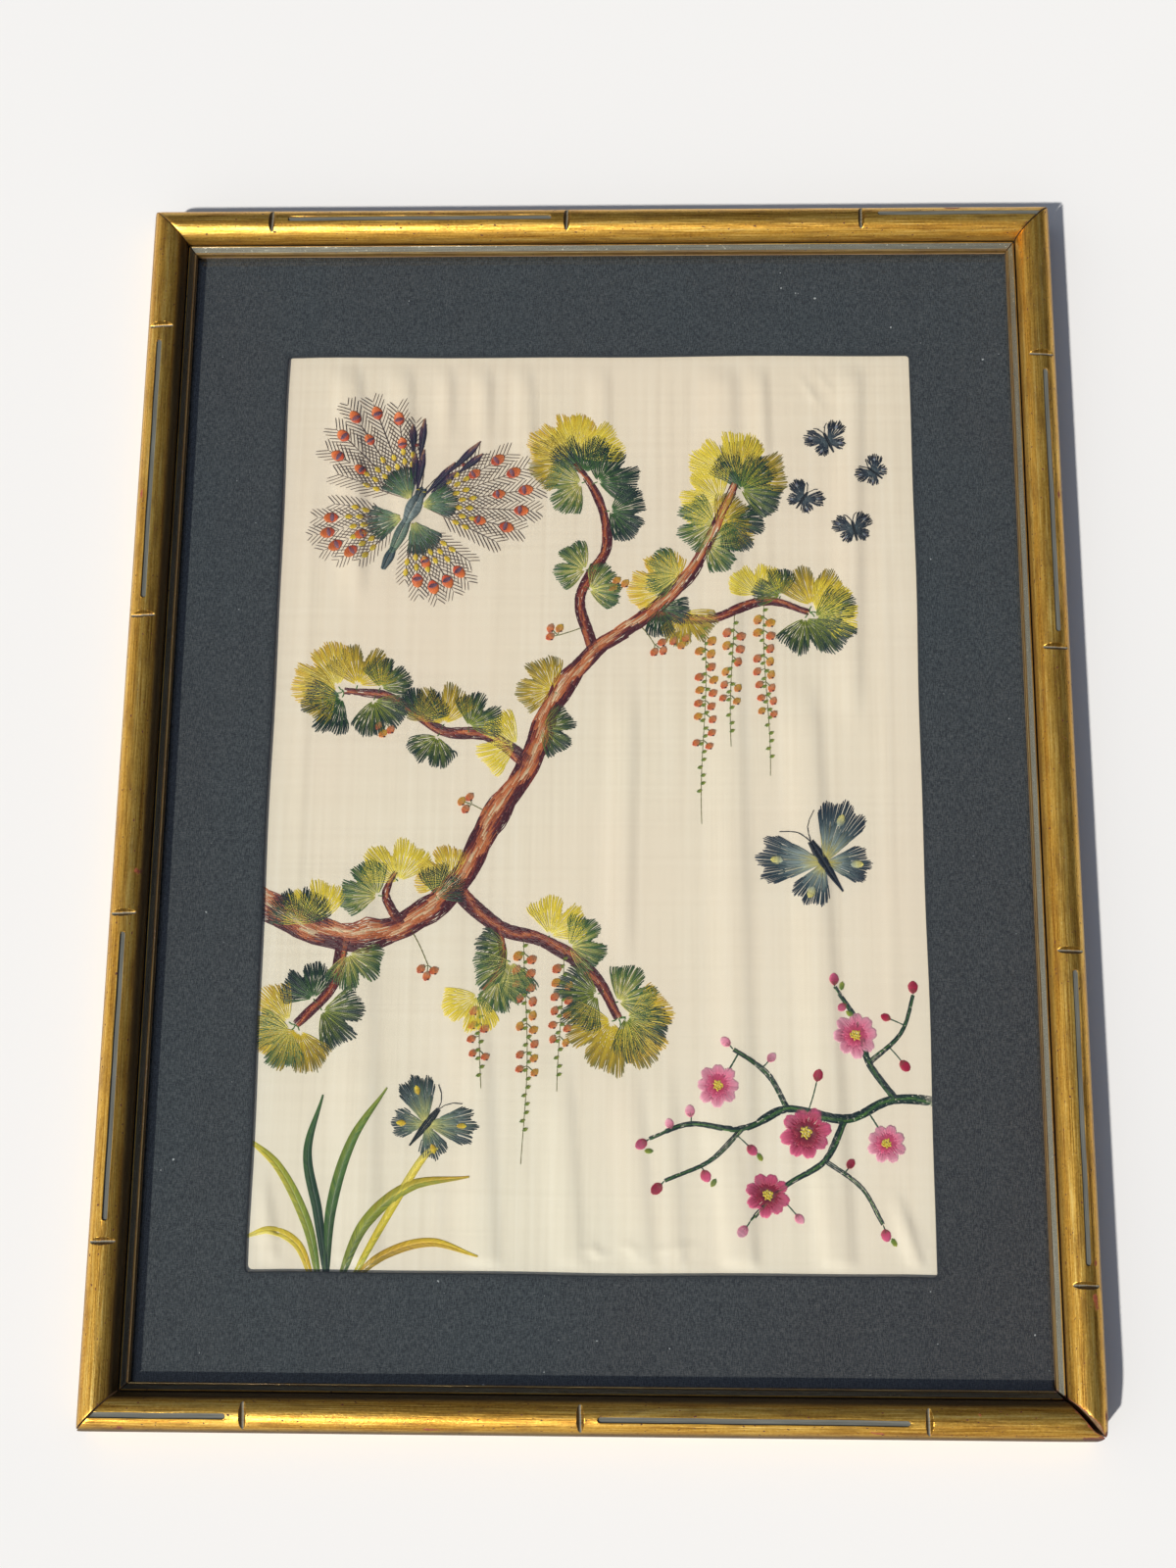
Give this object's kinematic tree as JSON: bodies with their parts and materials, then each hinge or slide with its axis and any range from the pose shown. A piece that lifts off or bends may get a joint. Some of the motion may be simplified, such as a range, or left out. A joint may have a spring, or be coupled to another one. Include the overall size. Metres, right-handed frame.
{
  "type": "framed silk embroidery with its gilt frame, window mat and glass",
  "caption": "Silk embroidery behind glass in a gilt bamboo-style frame with a slate cloth window mat; lies flat or hangs on a wall.",
  "frame": {"origin": "middle of the frame's back face, which lies on the surface", "axes": "+X to the right of the picture, +Y to its top, +Z out of the picture towards the viewer"},
  "size_m": [0.384, 0.505, 0.0221],
  "materials": {
    "gilt_wood": "antique gold leaf over red ground, worn at edges, with grey painted lip and cuts",
    "board": "plain brown hardboard, matt",
    "silk": "ivory silk with a fine soft sheen, embroidered in silk thread",
    "mat_cloth": "slate-blue slubbed cloth over board, matt",
    "glass": "clear picture glass, polished"
  },
  "bodies": {
    "root": {"rail_top": "gilt_wood", "rail_bottom": "gilt_wood", "rail_left": "gilt_wood", "rail_right": "gilt_wood", "backing_board": "board", "silk_panel": "silk", "window_mat": "mat_cloth", "glass_pane": "glass"}
  },
  "joints": []
}
